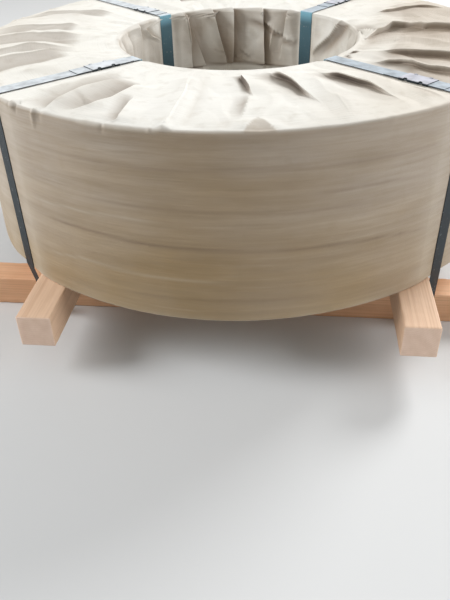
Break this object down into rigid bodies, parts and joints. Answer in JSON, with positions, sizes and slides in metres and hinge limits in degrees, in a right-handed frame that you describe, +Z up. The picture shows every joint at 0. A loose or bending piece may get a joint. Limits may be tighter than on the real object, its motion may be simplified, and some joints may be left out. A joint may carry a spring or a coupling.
{
  "type": "steel coil",
  "caption": "Coil of steel strip wrapped in kraft paper, strapped eye-up on a two-layer timber skid.",
  "frame": {"origin": "on the floor, below the middle of the coil's eye", "axes": "+Z up along the coil's axis, +X to the right along the lower bearers, -Y towards the front along the upper bearers"},
  "size_m": [1.12, 1.12, 0.4746],
  "materials": {
    "steel": "cold-rolled strip, satin",
    "paper": "creped kraft wrapping paper, matt, creased",
    "strap": "dark blue-green coated steel strapping, slight sheen",
    "seal": "dark coated steel seal, crimped",
    "timber": "sawn softwood, bare"
  },
  "bodies": {
    "root": {"steel_coil": "steel", "paper_wrap": "paper", "strap_front_left": "strap", "seal_front_left": "seal", "strap_front_right": "strap", "seal_front_right": "seal", "strap_back_left": "strap", "seal_back_left": "seal", "strap_back_right": "strap", "seal_back_right": "seal", "upper_bearer_left": "timber", "upper_bearer_right": "timber", "lower_bearer_front": "timber", "lower_bearer_back": "timber"}
  },
  "joints": []
}
